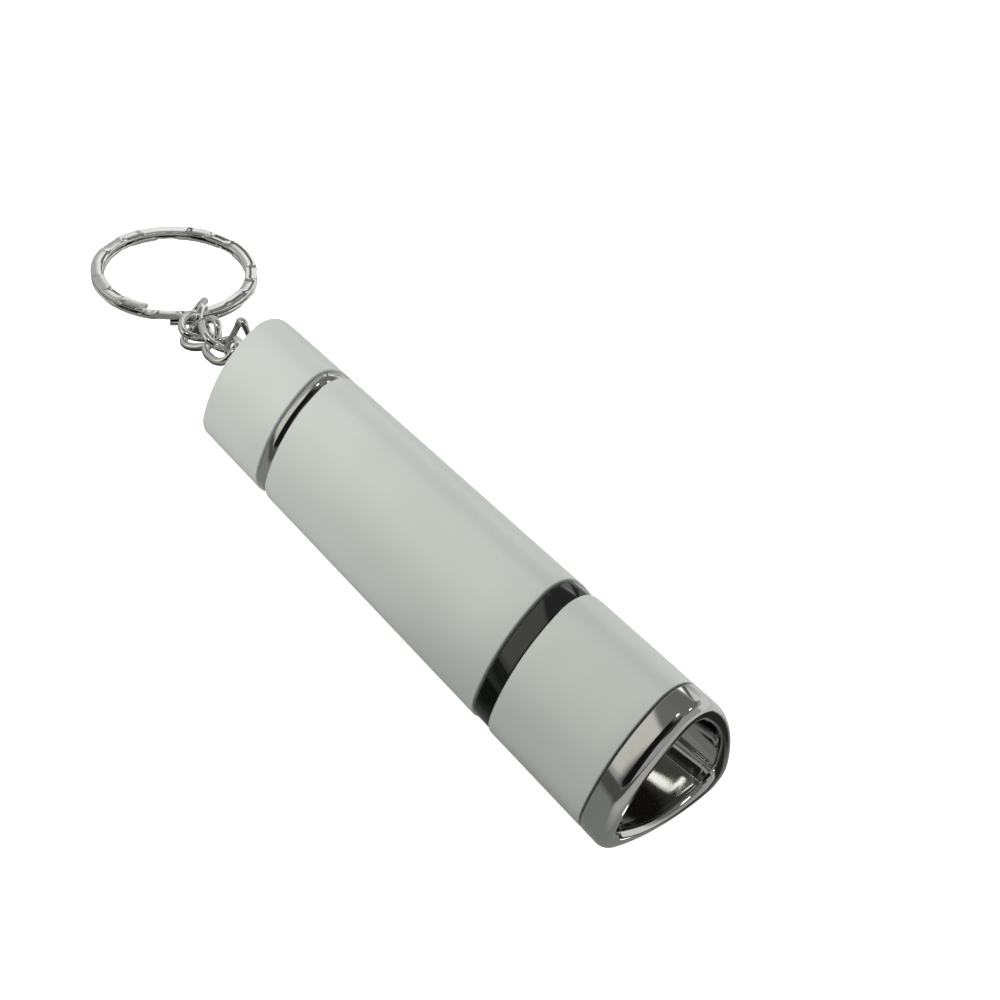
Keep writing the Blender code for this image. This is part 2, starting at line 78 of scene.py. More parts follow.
def section(inset, corner_steps=20, side_steps=16):
    """Rounded triangle, apex up, moved inwards by inset: (y, z) points about the centre line."""
    points = []
    for k in range(3):
        corner = math.radians(90 + 120 * k)
        centre = (CORNER_OFFSET * math.cos(corner), CORNER_OFFSET * math.sin(corner))
        radius = CORNER_RADIUS - inset
        half = math.radians(60) - SIDE_HALF_ANGLE
        for i in range(corner_steps + 1):
            a = corner - half + 2 * half * i / corner_steps
            points.append((centre[0] + radius * math.cos(a), centre[1] + radius * math.sin(a)))
        side = corner + math.radians(60)
        centre = (-SIDE_OFFSET * math.cos(side), -SIDE_OFFSET * math.sin(side))
        radius = SIDE_RADIUS - inset
        for i in range(1, side_steps):
            a = side - SIDE_HALF_ANGLE + 2 * SIDE_HALF_ANGLE * i / side_steps
            points.append((centre[0] + radius * math.cos(a), centre[1] + radius * math.sin(a)))
    return points


def round_section(radius):
    """Circle with its points in the same directions as those of the rounded triangle."""
    return [(radius * y / math.hypot(y, z), radius * z / math.hypot(y, z)) for y, z in section(0)]


def mixed(first, second, share):
    """Outline part of the way from the first to the second."""
    return [(a[0] + (b[0] - a[0]) * share, a[1] + (b[1] - a[1]) * share) for a, b in zip(first, second)]


# ---------------------------------------------------------------- mesh helpers
def link_mesh(name, mesh, material, body, replaced, crease=35.0):
    """Makes a shown piece from a mesh, and ties it to its body and CAD nodes."""
    mesh.materials.append(material)
    for polygon in mesh.polygons:
        polygon.use_smooth = True
    mesh.set_sharp_from_angle(angle=math.radians(crease))
    piece = bpy.data.objects.new(name, mesh)
    bpy.context.scene.collection.objects.link(piece)
    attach(piece, body)
    if replaced:
        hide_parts(*replaced)
    return piece


def mesh_from_rings(name, rings, closed=True):
    """Quads between neighbouring rings of points in millimetres.  An open run gets its two ends filled."""
    bm = bmesh.new()
    loops = [[bm.verts.new(Vector(point) * MM) for point in ring] for ring in rings]
    count = len(loops[0])
    last = len(loops) if closed else len(loops) - 1
    for k in range(last):
        here = loops[k]
        following = loops[(k + 1) % len(loops)]
        for i in range(count):
            j = (i + 1) % count
            bm.faces.new((here[i], here[j], following[j], following[i]))
    if not closed:
        bm.faces.new(loops[0])
        bm.faces.new(loops[-1])
    bmesh.ops.recalc_face_normals(bm, faces=bm.faces)
    mesh = bpy.data.meshes.new(name)
    bm.to_mesh(mesh)
    bm.free()
    return mesh


def body_ring(x, outline):
    """Outline about the centre line, set at its place along the body."""
    return [(x, y, z + AXIS_HEIGHT) for y, z in outline]


def loft_piece(name, rings, material, body, replaced, crease=35.0):
    """Sleeve through a closed round of (x, outline) rings."""
    mesh = mesh_from_rings(name, [body_ring(x, outline) for x, outline in rings])
    return link_mesh(name, mesh, material, body, replaced, crease)


def fillet(x, inset, radius, start, end, steps=6):
    """(x, inset) points on a quarter round.  Angles: 0 is +X, 90 is outwards."""
    points = []
    for i in range(steps + 1):
        a = math.radians(start + (end - start) * i / steps)
        points.append((x + radius * math.cos(a), inset - radius * math.sin(a)))
    return points


def from_profile(points):
    """(x, outline) rings from (x, inset) points."""
    return [(x, section(inset)) for x, inset in points]


# ---------------------------------------------------------------- material helpers
class Nodes:
    """Short way to build a material's nodes."""

    def __init__(self, name):
        self.material = bpy.data.materials.new(name)
        self.material.use_nodes = True
        self.tree = self.material.node_tree
        self.shader = self.tree.nodes["Principled BSDF"]

    def add(self, kind, inputs=None, **settings):
        """Adds a node, with its inputs and settings."""
        node = self.tree.nodes.new(kind)
        for key, value in settings.items():
            setattr(node, key, value)
        for key, value in (inputs or {}).items():
            self.put(node, key, value)
        return node

    def put(self, node, key, value):
        """Gives an input a value, or the output of another node."""
        socket = node.inputs[key]
        if isinstance(value, bpy.types.NodeSocket):
            self.tree.links.new(value, socket)
        elif isinstance(value, bpy.types.Node):
            self.tree.links.new(value.outputs[0], socket)
        else:
            socket.default_value = value

    def coordinates(self, scale=(1.0, 1.0, 1.0)):
        """Place on the object, scaled."""
        source = self.add("ShaderNodeTexCoord")
        mapping = self.add("ShaderNodeMapping", {"Vector": source.outputs["Object"], "Scale": scale})
        return mapping.outputs[0]

    def noise(self, vector, scale, detail=3.0):
        """Smooth noise from 0 to 1."""
        node = self.add(
            "ShaderNodeTexNoise",
            {"Vector": vector, "Scale": scale, "Detail": detail},
        )
        return node.outputs["Fac"]

    def span(self, value, low, high, out_low, out_high):
        """Maps low..high to out_low..out_high, held at both ends."""
        node = self.add(
            "ShaderNodeMapRange",
            {"Value": value, "From Min": low, "From Max": high, "To Min": out_low, "To Max": out_high},
        )
        return node.outputs[0]

    def mix(self, share, first, second):
        """Colour part of the way from the first to the second."""
        node = self.add("ShaderNodeMix", data_type="RGBA")
        self.put(node, 0, share)
        self.put(node, 6, first)
        self.put(node, 7, second)
        return node.outputs[2]

    def bump(self, height, strength, distance):
        """Surface normal disturbed by a height."""
        node = self.add("ShaderNodeBump", {"Height": height, "Strength": strength, "Distance": distance})
        return node.outputs[0]

    def distance(self, place, centre):
        """Distance from a point given in metres."""
        node = self.add("ShaderNodeVectorMath", {0: place, 1: centre}, operation="DISTANCE")
        return node.outputs["Value"]

    def finish(self, **inputs):
        """Sets the main shader's inputs and gives the material."""
        for key, value in inputs.items():
            self.put(self.shader, key.replace("_", " "), value)
        return self.material


def colour(red, green, blue):
    """Opaque colour."""
    return (red, green, blue, 1.0)


def satin_aluminium():
    """Bead-blasted and clear-anodised aluminium: fine grain, faint handling marks."""
    n = Nodes("satin_aluminium_finish")
    place = n.coordinates()
    grain = n.noise(place, 9000.0, 2.0)
    cloud = n.noise(place, 60.0, 3.0)
    streak = n.noise(n.coordinates((60.0, 900.0, 900.0)), 1.0, 3.0)
    tint = n.mix(n.span(cloud, 0.35, 0.65, 0.0, 1.0), colour(0.60, 0.64, 0.595), colour(0.632, 0.668, 0.628))
    tint = n.mix(n.span(grain, 0.3, 0.7, 0.0, 0.12), tint, colour(0.40, 0.43, 0.40))
    rough = n.span(streak, 0.3, 0.7, 0.44, 0.50)
    normal = n.bump(grain, 0.12, 0.00002)
    return n.finish(Base_Color=tint, Metallic=0.45, Roughness=rough, Normal=normal)


def bright_chrome(name, shade, rough):
    """Chrome plating with a faint ripple and a few dull specks."""
    n = Nodes(name)
    place = n.coordinates()
    ripple = n.noise(place, 350.0, 2.0)
    haze = n.noise(place, 120.0, 4.0)
    first = colour(shade, shade, 0.975 * shade)
    second = colour(0.9 * shade, 0.9 * shade, 0.87 * shade)
    tint = n.mix(n.span(haze, 0.4, 0.7, 0.0, 1.0), first, second)
    roughness = n.span(haze, 0.45, 0.75, rough, rough + 0.06)
    normal = n.bump(ripple, 0.05, 0.00005)
    return n.finish(Base_Color=tint, Metallic=1.0, Roughness=roughness, Normal=normal)


def gloss_black():
    """Gloss-black plastic."""
    n = Nodes("gloss_black_plastic")
    place = n.coordinates()
    haze = n.noise(place, 150.0, 4.0)
    tint = n.mix(n.span(haze, 0.4, 0.7, 0.0, 1.0), colour(0.002, 0.003, 0.002), colour(0.004, 0.005, 0.004))
    roughness = n.span(haze, 0.4, 0.7, 0.03, 0.08)
    normal = n.bump(n.noise(place, 300.0, 2.0), 0.04, 0.00005)
    return n.finish(Base_Color=tint, Roughness=roughness, Normal=normal, IOR=1.6)


GRAIN_SCALE = 1500.0
GRAIN_DEPTH = 0.00003


def plain_finish(name, first, second, metallic, low_rough, high_rough):
    """Two-tone finish with grain, for the pieces inside."""
    n = Nodes(name)
    place = n.coordinates()
    cloud = n.noise(place, 200.0, 4.0)
    tint = n.mix(n.span(cloud, 0.35, 0.65, 0.0, 1.0), colour(*first), colour(*second))
    rough = n.span(cloud, 0.35, 0.65, low_rough, high_rough)
    normal = n.bump(n.noise(place, GRAIN_SCALE), 0.2, GRAIN_DEPTH)
    return n.finish(Base_Color=tint, Metallic=metallic, Roughness=rough, Normal=normal)


def clear_plastic(name, rough):
    """Water-clear moulding with a faint moulding ripple."""
    n = Nodes(name)
    place = n.coordinates()
    haze = n.noise(place, 90.0, 3.0)
    roughness = n.span(haze, 0.3, 0.7, rough, rough + 0.06)
    normal = n.bump(n.noise(place, 400.0, 2.0), 0.05, 0.00005)
    return n.finish(
        Base_Color=colour(0.97, 0.985, 0.98),
        Roughness=roughness,
        Normal=normal,
        IOR=1.49,
        Transmission_Weight=0.95,
    )


ALUMINIUM = satin_aluminium()
CHROME = bright_chrome("bright_chrome", 0.54, 0.04)
TRIM_CHROME = bright_chrome("trim_ring_chrome", 0.60, 0.06)
WIRE_CHROME = bright_chrome("plated_wire", 0.78, 0.07)
BLACK = gloss_black()

# ---------------------------------------------------------------- body pieces
EDGE = 0.14               # radius of the small rounded edges
SPIGOT = WALL + GAP       # inset of what goes inside a sleeve
TUBE_BORE = 6.3
LINER_BORE = 6.9


def sleeve_rings(rear, front):
    """Closed profile of a sleeve with small rounded edges."""
    parts = 8
    points = fillet(rear + EDGE, EDGE, EDGE, 180, 90)
    points += [(rear + (front - rear) * i / parts, 0.0) for i in range(1, parts)]
    points += fillet(front - EDGE, EDGE, EDGE, 90, 0)
    points += fillet(front - EDGE, WALL - EDGE, EDGE, 0, -90, 3)
    points += fillet(rear + EDGE, WALL - EDGE, EDGE, -90, -180, 3)
    return from_profile(points)


def build_sleeves():
    """Aluminium shells of tail, middle and head."""
    for name, rear, front, body in (
        ("tail_sleeve", TAIL_END, TAIL_FRONT, "tail"),
        ("middle_sleeve", MIDDLE_REAR, MIDDLE_FRONT, "middle"),
        ("head_sleeve", HEAD_REAR, HEAD_FRONT, "head"),
    ):
        piece = f"{name}_shell"
        loft_piece(piece, sleeve_rings(rear, front), ALUMINIUM, body, [name])


def build_collar():
    """Gloss collar with rounded edges, with its bore round the lantern tube."""
    low, high = node_box("stop_collar")
    rear = low.x
    face_front = HEAD_REAR - 0.1
    inset = 0.2
    bore = round_section(TUBE_BORE)
    points = fillet(rear + EDGE, inset + EDGE, EDGE, 180, 90)
    points += fillet(face_front - EDGE, inset + EDGE, EDGE, 90, 0)
    points += [(face_front, SPIGOT), (high.x, SPIGOT)]
    rings = from_profile(points) + [(high.x, bore), (rear, bore)]
    loft_piece("stop_collar_ring", rings, BLACK, "head", ["stop_collar"])


def build_trim_ring():
    """Bright ring: flat band, then a broad rolled shoulder towards the middle sleeve."""
    tip = node_box("rear_trim_ring")[0].x
    rear = TAIL_FRONT + 0.14
    front = MIDDLE_REAR - 0.12
    foot = front - 0.25
    inset = 0.3
    shoulder = 1.45
    chamfer = 0.8
    bore = round_section(LINER_BORE)
    points = [(tip, SPIGOT + chamfer), (tip + chamfer, SPIGOT), (rear, SPIGOT)]
    points += fillet(rear + EDGE, inset + EDGE, EDGE, 180, 90)
    points += fillet(front - shoulder, inset + shoulder, shoulder, 90, 35, 12)
    points.append((foot, SPIGOT))
    rings = from_profile(points) + [(foot, bore), (tip, bore)]
    loft_piece("rear_trim_ring_bright", rings, TRIM_CHROME, "middle", ["rear_trim_ring"])


def build_bezel():
    """Bright rim and mirror bowl in one moulding: roll, flat land, rounded lip, dished bowl and neck."""
    shoulder = HEAD_FRONT + 0.28
    roll = 1.25
    land = 0.2
    lip_depth = 1.2
    lip_steps = 10
    bowl_front = FRONT_END - lip_depth
    bowl_rear = 30.0
    bowl_steps = 36
    neck_rear = 27.5
    neck = round_section(3.3)
    edge = section(roll + land)
    mouth = mixed(section(1.9), round_section(6.3), 0.3)
    rings = [(neck_rear, round_section(4.2)), (bowl_rear + 0.6, round_section(4.4))]
    rings.append((bowl_rear + 3.2, mixed(round_section(6.0), section(SPIGOT), 0.25)))
    rings += [(x, section(SPIGOT)) for x in (bowl_rear + 4.8, shoulder)]
    skirt_rings = len(rings)
    points = fillet(shoulder + EDGE, EDGE, EDGE, 180, 90)
    points += fillet(FRONT_END - roll, roll, roll, 90, 0, 16)
    rings += from_profile(points)
    for i in range(lip_steps + 1):
        a = math.radians(90) * i / lip_steps
        rings.append((FRONT_END - lip_depth * (1 - math.cos(a)), mixed(edge, mouth, math.sin(a))))
    for i in range(1, bowl_steps + 1):
        depth = i / bowl_steps
        share = 1 - math.sqrt(1 - depth)
        rings.append((bowl_front + (bowl_rear - bowl_front) * depth, mixed(mouth, neck, share)))
    rings.append((neck_rear, neck))
    bezel = loft_piece("reflector_bezel_mirror", rings, CHROME, "head", ["reflector_bezel"], 40.0)
    bezel.data.materials.append(BLACK)
    ring_faces = len(neck)
    for polygon in bezel.data.polygons[: skirt_rings * ring_faces]:
        polygon.material_index = 1


build_sleeves()
build_collar()
build_trim_ring()
build_bezel()

# ---------------------------------------------------------------- bail, chain and ring
BAIL_WIRE = 0.45
BAIL_TOP = (-48.0, 0.0, 14.9)
BAIL_SWELL = 0.55         # extra share of the thickness where the bail's ends are joined
BAIL_SWELL_REACH = 2.2
LINK_WIRE = 0.6
LINK_LENGTH = 8.6
LINK_WIDTH = 5.8
LINK_TWIST = 0.4
LINK_FULLNESS = 0.8
POST_HOLE = (-43.4, 0.0)
CHAIN_POINTS = [
    (-51.6, 0.0, 7.5),
    (-54.78, 0.57, 6.58),
    (-60.12, 1.87, 5.6),
    (-62.93, 0.96, 3.92),
    (-67.52, 4.1, 3.05),
    (-70.99, 5.91, 2.65),
]
LINK_ROLLS = [-27.0, 44.0, 138.0, 26.0, 106.0]
RING_RADIUS = 12.1
RING_BAND = 2.0
RING_THICKNESS = 0.75
RING_PITCH = 0.86
RING_TURNS = 1.95
RING_START = math.radians(206.0)
RING_CENTRE = (-82.0, 7.6, 3.75)
RING_TILT = math.radians(6.5)
RING_UPHILL = math.radians(123.0)
RING_FACETS = 38
FACET_BEAT = 2.4          # step of the sine that makes the facets lean unevenly
FACET_LEAN = 0.22
FACET_FLAT = 0.7          # share of a facet before it turns into the next one


def sweep(name, path, outline_at, closed, material, body, replaced, up=None, crease=40.0):
    """Sweeps an outline along a path; outline_at(share) gives (outwards, upwards) points."""
    points = [Vector(p) for p in path]
    count = len(points)
    rings = []
    reference = None
    for i, here in enumerate(points):
        before = points[i - 1] if closed or i > 0 else here
        after = points[(i + 1) % count] if closed or i < count - 1 else here
        tangent = (after - before).normalized()
        if up is not None:
            side = tangent.cross(up).normalized()
        elif reference is None:
            side = tangent.orthogonal().normalized()
        else:
            side = (reference - tangent * reference.dot(tangent)).normalized()
        reference = side
        top = side.cross(tangent)
        rings.append([here + side * u + top * v for u, v in outline_at(i / count)])
    if closed and up is None:
        rings = untwist(points, rings)
    mesh = mesh_from_rings(name, rings, closed=closed)
    return link_mesh(name, mesh, material, body, replaced, crease)


def untwist(points, rings):
    """Spreads the leftover turn of a closed wire over its whole length, by shifting round outlines."""
    count = len(rings[0])
    first = rings[0][0]
    nearest = min(range(count), key=lambda k: (rings[-1][k] - first).length)
    if nearest > count / 2:
        nearest -= count
    total = len(rings)
    turned = []
    for i, ring in enumerate(rings):
        centre = points[i]
        axis = (points[(i + 1) % total] - points[i - 1]).normalized()
        probe = Matrix.Rotation(1e-3, 3, axis) @ (ring[0] - centre)
        direction = 1 if (probe - (ring[1] - centre)).length < (ring[0] - ring[1]).length else -1
        angle = direction * 2 * math.pi * nearest / count * i / total
        turn = Matrix.Rotation(angle, 3, axis)
        turned.append([centre + turn @ (p - centre) for p in ring])
    return turned


def round_outline(radius, steps=16):
    """Circle of (outwards, upwards) points."""
    angles = [2 * math.pi * i / steps for i in range(steps)]
    return [(radius * math.cos(a), radius * math.sin(a)) for a in angles]


def round_corners(corners, radii, steps=9, straight=4):
    """Closed outline through corner points, each corner rounded by an arc-like curve."""
    points = []
    count = len(corners)
    for i, corner in enumerate(corners):
        here = Vector(corner)
        before = (Vector(corners[i - 1]) - here).normalized()
        after = (Vector(corners[(i + 1) % count]) - here).normalized()
        start = here + before * radii[i]
        end = here + after * radii[i]
        for k in range(steps + 1):
            s = k / steps
            points.append(start * (1 - s) ** 2 + here * 2 * s * (1 - s) + end * s**2)
        nxt = Vector(corners[(i + 1) % count]) - after * radii[(i + 1) % count]
        for k in range(1, straight):
            points.append(end + (nxt - end) * k / straight)
    return points


def build_bail():
    """Wire loop, thickened at the top where its ends are joined."""
    x, y = POST_HOLE
    corners = [(x, y, AXIS_HEIGHT - 3.3), (x, y, AXIS_HEIGHT + 3.1), BAIL_TOP, (-52.2, 0.0, 7.3)]
    path = round_corners(corners, [1.2, 1.0, 1.6, 1.6], straight=10)

    def outline_at(share):
        point = path[round(share * len(path))]
        distance = (point - Vector(BAIL_TOP)).length
        return round_outline(BAIL_WIRE * (1 + BAIL_SWELL * max(0.0, 1 - distance / BAIL_SWELL_REACH)))

    sweep("bail_wire", path, outline_at, True, WIRE_CHROME, "bail_body", ["bail"])


def link_path(start, end, roll, steps=64):
    """Twisted oval between two bearing points."""
    start = Vector(start)
    end = Vector(end)
    along = (end - start).normalized()
    level = Vector((0, 0, 1)).cross(along).normalized()
    across = level * math.cos(roll) + along.cross(level) * math.sin(roll)
    out = along.cross(across)
    reach = LINK_LENGTH / 2 - LINK_WIRE
    half = LINK_WIDTH / 2 - LINK_WIRE
    points = []
    for i in range(steps):
        a = 2 * math.pi * i / steps
        u = reach * abs(math.cos(a)) ** LINK_FULLNESS * math.copysign(1, math.cos(a))
        sideways = across * half * math.sin(a) + out * LINK_TWIST * math.sin(2 * a)
        points.append((start + end) / 2 + along * u + sideways)
    return points


def build_links():
    """Five twisted links, each from its bearing point to the next."""
    outline = round_outline(LINK_WIRE)
    for number, roll in enumerate(LINK_ROLLS, start=1):
        path = link_path(CHAIN_POINTS[number - 1], CHAIN_POINTS[number], math.radians(roll))
        name = f"chain_link_{number}"
        body = f"link_{number}"
        sweep(f"{name}_wire", path, lambda share: outline, True, WIRE_CHROME, body, [name])


def build_ring():
    """Two turns of flat wire whose band is hammered into long facets."""
    uphill = Vector((math.cos(RING_UPHILL), math.sin(RING_UPHILL), 0.0))
    level = Vector((-math.sin(RING_UPHILL), math.cos(RING_UPHILL), 0.0))
    slope = uphill * math.cos(RING_TILT) + Vector((0, 0, 1)) * math.sin(RING_TILT)
    normal = slope.cross(level)
    steps = 420
    path = []
    for i in range(steps + 1):
        share = i / steps
        a = RING_START + 2 * math.pi * RING_TURNS * share
        lift = RING_PITCH * RING_TURNS * (share - 0.5)
        flat = slope * RING_RADIUS * math.cos(a) + level * RING_RADIUS * math.sin(a)
        path.append(Vector(RING_CENTRE) + flat + normal * lift)

    def outline_at(share):
        place = share * RING_FACETS
        number = math.floor(place)
        blow = math.sin(FACET_BEAT * number)
        following = math.sin(FACET_BEAT * (number + 1))
        turn = min(1.0, max(0.0, (place - number - FACET_FLAT) / (1 - FACET_FLAT)))
        return hammered_band(RING_BAND, RING_THICKNESS, FACET_LEAN * (blow + (following - blow) * turn))

    sweep(
        "split_ring_coil",
        path,
        outline_at,
        False,
        WIRE_CHROME,
        "key_ring",
        ["split_ring"],
        up=normal,
        crease=30.0,
    )


def hammered_band(width, height, lean):
    """Flat wire with rounded edges: (outwards, upwards) points.  Lean lowers one edge of both faces."""
    radius = 0.2
    steps = 3
    points = []
    for quarter, (sx, sy) in enumerate(((1, 1), (-1, 1), (-1, -1), (1, -1))):
        cut = max(0.0, lean * sx)
        for i in range(steps + 1):
            a = math.radians(90 * quarter + 90 * i / steps)
            x = sx * (width / 2 - radius) + radius * math.cos(a)
            y = sy * (height / 2 - radius - cut) + radius * math.sin(a)
            points.append((x, y))
    return points


build_bail()
build_links()
build_ring()

# ---------------------------------------------------------------- CAD pieces that keep their shape
NODE_FINISHES = {
    "tail_cap": ALUMINIUM,
    "eyelet_post": CHROME,
    "lantern_tube": clear_plastic("clear_lantern_tube", 0.12),
    "led": clear_plastic("clear_led_epoxy", 0.04),
    "slide_o_ring": plain_finish("black_rubber", (0.012, 0.012, 0.012), (0.03, 0.03, 0.03), 0.0, 0.6, 0.8),
    "guide_bush": plain_finish("black_acetal", (0.02, 0.02, 0.02), (0.04, 0.04, 0.04), 0.0, 0.35, 0.5),
    "resistor": plain_finish("resistor_body", (0.03, 0.03, 0.035), (0.06, 0.06, 0.06), 0.0, 0.3, 0.5),
    "circuit_board": plain_finish("board_laminate", (0.02, 0.16, 0.06), (0.04, 0.24, 0.09), 0.0, 0.35, 0.5),
    "led_holder": plain_finish("white_moulding", (0.78, 0.78, 0.76), (0.70, 0.70, 0.68), 0.0, 0.4, 0.55),
    "battery_tube": plain_finish("liner_card", (0.74, 0.74, 0.71), (0.66, 0.66, 0.63), 0.0, 0.6, 0.75),
    "front_contact": plain_finish("brass_contact", (0.72, 0.55, 0.26), (0.62, 0.46, 0.2), 1.0, 0.2, 0.35),
    "contact_plate": plain_finish("brass_plate", (0.74, 0.57, 0.28), (0.64, 0.48, 0.22), 1.0, 0.2, 0.38),
    "post_clip": plain_finish("spring_steel", (0.5, 0.5, 0.5), (0.6, 0.6, 0.6), 1.0, 0.25, 0.4),
}
CELL_STEEL = plain_finish("nickel_cell_case", (0.62, 0.61, 0.58), (0.72, 0.71, 0.68), 1.0, 0.18, 0.32)
for number in range(1, 5):
    NODE_FINISHES[f"button_cell_{number}"] = CELL_STEEL
LEAD_STEEL = plain_finish("tinned_steel", (0.6, 0.6, 0.6), (0.72, 0.72, 0.72), 1.0, 0.2, 0.35)
for node in ("led_lead_positive", "led_lead_negative", "contact_spring"):
    NODE_FINISHES[node] = LEAD_STEEL
for node, material in NODE_FINISHES.items():
    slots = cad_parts[node].material_slots
    slots[0].material = material


# ---------------------------------------------------------------- stage, light and camera
# Painted reflection spots on the table that only reflections see, not real cards: dark spots give painted
# dark reflections and one glowing spot gives a painted glint; centre and radius in mm, softness in mm,
# light.
PAINTED_REFLECTION_SPOTS = (
    ((8.0, -27.0), 13.0, 4.0, (0.04, 0.04, 0.035)),
    ((-58.0, 2.0), 13.0, 5.0, (0.05, 0.045, 0.04)),
    ((46.8, 5.0), 5.5, 1.5, (0.03, 0.025, 0.02)),
    ((57.0, 22.0), 15.0, 3.0, (0.03, 0.03, 0.03)),
    # painted glint: this small spot glows far brighter than the table so the bowl shows a white highlight
    ((45.6, -1.35), 0.8, 0.25, (7.0, 7.0, 6.9)),
)


def painted_table_reflection(n, place):
    """Painted reflection of the table, seen only by reflections: grey near, bright behind, with painted dark
    spots and one glowing painted glint spot on it.
    """
    # painted reflection: grey, bright and dark zones of the table that only reflections see
    split = n.add("ShaderNodeSeparateXYZ", {"Vector": place})
    ahead = n.span(split.outputs["X"], 47 * MM, 58 * MM, 0.0, 1.0)
    painted_reflection_colour = n.mix(ahead, colour(0.30, 0.31, 0.29), colour(0.62, 0.62, 0.60))
    behind = n.span(split.outputs["Y"], 12 * MM, 40 * MM, 0.0, 1.0)
    painted_reflection_colour = n.mix(behind, painted_reflection_colour, colour(0.85, 0.85, 0.84))
    before = n.span(split.outputs["Y"], -70 * MM, -45 * MM, 1.0, 0.0)
    painted_reflection_colour = n.mix(before, painted_reflection_colour, colour(0.11, 0.11, 0.10))
    # painted reflection: dark spots, and one glowing spot for a painted glint
    for centre, radius, softness, light in PAINTED_REFLECTION_SPOTS:
        distance = n.distance(place, (centre[0] * MM, centre[1] * MM, 0.0))
        inside = n.span(distance, (radius - softness) * MM, (radius + softness) * MM, 1.0, 0.0)
        painted_reflection_colour = n.mix(inside, painted_reflection_colour, colour(*light))
    return n.add("ShaderNodeEmission", {"Color": painted_reflection_colour})


def painted_bounce_light(n, place):
    """Painted bounce light that the table throws up to matt surfaces: an even glow, but dark beside the
    head, which paints shade on the head's lower side.
    """
    # painted shade: the glow fades to dark near the head, darkening its lower side
    distance = n.distance(place, (45 * MM, -22 * MM, 0.0))
    share = n.span(distance, 14 * MM, 65 * MM, 0.0, 1.0)
    light = n.mix(share, colour(0.01, 0.01, 0.01), colour(0.95, 0.96, 0.95))
    return n.add("ShaderNodeEmission", {"Color": light})


def build_stage():
    """White table.  The camera sees it plainly, matt light sees the painted bounce light with its painted
    shade, and reflections see the painted reflection spots, so each sees it in its own way.
    """
    half = 3.0
    mesh = bpy.data.meshes.new("floor")
    corners = [(-half, -half, 0), (half, -half, 0), (half, half, 0), (-half, half, 0)]
    mesh.from_pydata(corners, [], [(0, 1, 2, 3)])
    floor = bpy.data.objects.new("floor", mesh)
    n = Nodes("white_table")
    place = n.coordinates()
    wash = n.noise(place, 6.0, 2.0)
    tint = n.mix(n.span(wash, 0.3, 0.7, 0.0, 1.0), colour(0.93, 0.93, 0.93), colour(0.95, 0.95, 0.95))
    n.finish(Base_Color=tint, Roughness=0.9, Specular_IOR_Level=0.1)
    n.put(n.shader, "Emission Color", colour(1.0, 1.0, 1.0))
    n.put(n.shader, "Emission Strength", 0.75)
    path = n.add("ShaderNodeLightPath")
    matt = n.add(
        "ShaderNodeMixShader", {0: path.outputs["Is Diffuse Ray"], 1: n.shader, 2: painted_bounce_light(n, place)}
    )
    shown = n.add(
        "ShaderNodeMixShader", {0: path.outputs["Is Glossy Ray"], 1: matt, 2: painted_table_reflection(n, place)}
    )
    n.put(n.tree.nodes["Material Output"], "Surface", shown)
    mesh.materials.append(n.material)
    bpy.context.scene.collection.objects.link(floor)


class Sky:
    """World shader: even light for matt surfaces, and a room with windows for the reflections."""

    def __init__(self):
        world = bpy.data.worlds.new("studio")
        bpy.context.scene.world = world
        world.use_nodes = True
        self.tree = world.node_tree
        self.background = self.tree.nodes["Background"]
        coordinates = self.tree.nodes.new("ShaderNodeTexCoord")
        split = self.tree.nodes.new("ShaderNodeSeparateXYZ")
        self.tree.links.new(coordinates.outputs["Generated"], split.inputs[0])
        x, y, z = split.outputs
        self.azimuth = self.math("ARCTAN2", y, x)
        self.elevation = self.math("ARCSINE", z)

    def math(self, operation, first, second=None):
        """Result of one sum, in radians where it is an angle."""
        node = self.tree.nodes.new("ShaderNodeMath")
        node.operation = operation
        for socket, value in zip(node.inputs, (first, second)):
            if value is None:
                continue
            if isinstance(value, bpy.types.NodeSocket):
                self.tree.links.new(value, socket)
            else:
                socket.default_value = value
        return node.outputs[0]

    def step(self, value, edge, softness):
        """0 below an edge, 1 above it."""
        node = self.tree.nodes.new("ShaderNodeMapRange")
        node.interpolation_type = "SMOOTHSTEP"
        self.tree.links.new(value, node.inputs["Value"])
        node.inputs["From Min"].default_value = edge - softness
        node.inputs["From Max"].default_value = edge + softness
        return node.outputs[0]

    def patch(self, azimuth, elevation, half_width, half_height, softness):
        """1 inside a window centred on a direction, 0 outside, all in degrees."""
        turn = self.math("SUBTRACT", self.azimuth, math.radians(azimuth))
        turn = self.math("WRAP", turn, math.pi)
        turn.node.inputs[2].default_value = -math.pi
        across = self.math("ABSOLUTE", turn)
        rise = self.math("ABSOLUTE", self.math("SUBTRACT", self.elevation, math.radians(elevation)))
        soft = math.radians(softness)
        inside = self.math("SUBTRACT", 1.0, self.step(across, math.radians(half_width), soft))
        level = self.math("SUBTRACT", 1.0, self.step(rise, math.radians(half_height), soft))
        return self.math("MULTIPLY", inside, level)

    def mix(self, share, first, second):
        """Colour part of the way from the first to the second."""
        node = self.tree.nodes.new("ShaderNodeMix")
        node.data_type = "RGBA"
        for index, value in ((0, share), (6, first), (7, second)):
            if isinstance(value, bpy.types.NodeSocket):
                self.tree.links.new(value, node.inputs[index])
            else:
                node.inputs[index].default_value = value
        return node.outputs[2]


def grey(value):
    """Opaque grey."""
    return (value, value, value, 1.0)


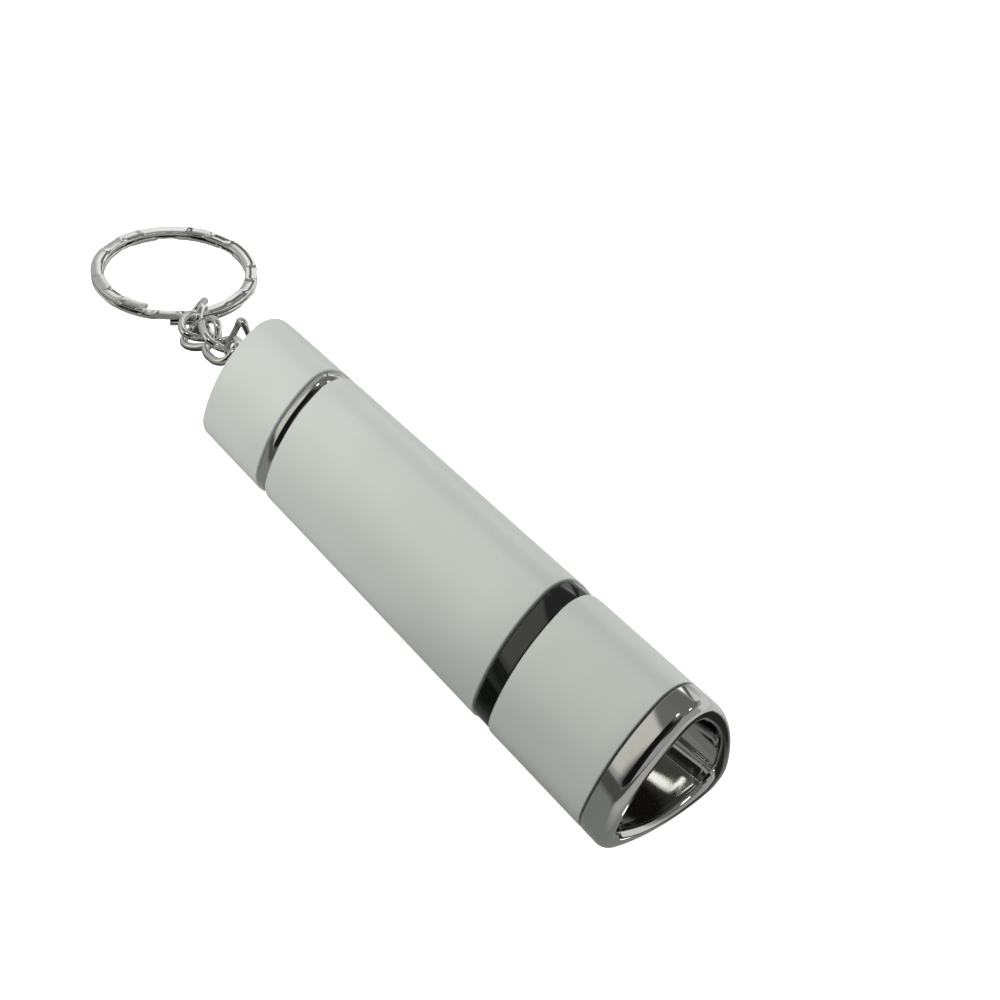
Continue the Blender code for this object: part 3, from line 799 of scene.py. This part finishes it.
# Windows and dark panels that reflections see, later ones over earlier ones:
# azimuth, elevation, half width, half height and softness in degrees, then light.
WINDOWS = (
    (78.0, 10.0, 36.0, 26.0, 6.0, grey(1.0)),
    (134.0, 32.0, 26.0, 12.0, 3.0, colour(1.0, 1.0, 0.97)),
    (-124.0, 46.0, 24.0, 12.0, 3.0, grey(0.24)),
    (-126.0, 20.5, 15.0, 17.5, 2.0, colour(0.90, 0.90, 0.82)),
    (-83.0, 25.0, 29.0, 25.0, 3.0, grey(0.01)),
    (-46.0, 42.0, 12.0, 14.0, 4.0, grey(0.06)),
    (150.0, 34.0, 2.5, 16.0, 1.0, grey(0.10)),
    (122.0, 28.0, 2.5, 16.0, 1.0, grey(0.15)),
    (140.0, 24.0, 8.0, 2.0, 1.0, grey(0.12)),
    (131.0, 40.0, 5.0, 3.5, 1.5, grey(2.0)),
    (-110.0, 58.0, 9.0, 5.0, 1.5, grey(4.0)),
    (25.0, 67.0, 12.0, 4.0, 1.5, grey(4.0)),
)


def build_sky():
    """Even sky for matt surfaces; walls, ceiling and windows for reflections."""
    sky = Sky()
    ceiling = sky.step(sky.elevation, math.radians(48.0), math.radians(5.0))
    room = sky.mix(ceiling, grey(0.5), grey(0.22))
    for azimuth, elevation, width, height, softness, light in WINDOWS:
        room = sky.mix(sky.patch(azimuth, elevation, width, height, softness), room, light)
    path = sky.tree.nodes.new("ShaderNodeLightPath")
    even = grey(0.97)
    shown = sky.mix(path.outputs["Is Glossy Ray"], even, room)
    sky.tree.links.new(shown, sky.background.inputs["Color"])


def area_light(name, place, aim, size, energy):
    """Square soft light at a place, turned to its aim (both in millimetres)."""
    data = bpy.data.lights.new(name, "AREA")
    data.energy = energy
    data.size = size * MM
    light = bpy.data.objects.new(name, data)
    light.location = Vector(place) * MM
    direction = Vector(aim) - Vector(place)
    light.rotation_euler = direction.to_track_quat("-Z", "Y").to_euler()
    bpy.context.scene.collection.objects.link(light)
    return light


def build_lights():
    """Key light near the tail, so that the body fades towards the head."""
    key = area_light("key_light", (-60.0, -60.0, 75.0), (-20.0, 0.0, 8.0), 50.0, 0.036)
    key.visible_glossy = False


def build_camera():
    """Camera above and in front of the light, rolled a little."""
    azimuth = math.radians(44.68)
    elevation = math.radians(35.55)
    roll = math.radians(11.45)
    sensor = 36.0
    focal_share = 1.2858      # focal length as a share of the sensor's width
    position = Vector((89.48, -82.11, 103.99)) * MM
    back = Vector(
        (
            math.sin(azimuth) * math.cos(elevation),
            -math.cos(azimuth) * math.cos(elevation),
            math.sin(elevation),
        )
    )
    level = Vector((math.cos(azimuth), math.sin(azimuth), 0.0))
    up = back.cross(level)
    right = level * math.cos(roll) + up * math.sin(roll)
    up = up * math.cos(roll) - level * math.sin(roll)
    data = bpy.data.cameras.new("camera")
    data.sensor_width = sensor
    data.lens = sensor * focal_share
    data.clip_start = 0.005
    camera = bpy.data.objects.new("camera", data)
    place = Matrix((right, up, back)).transposed().to_4x4()
    place.translation = position
    camera.matrix_world = place
    bpy.context.scene.collection.objects.link(camera)
    bpy.context.scene.camera = camera
    bpy.context.scene.view_settings.view_transform = "Standard"


build_stage()
build_sky()
build_lights()
build_camera()
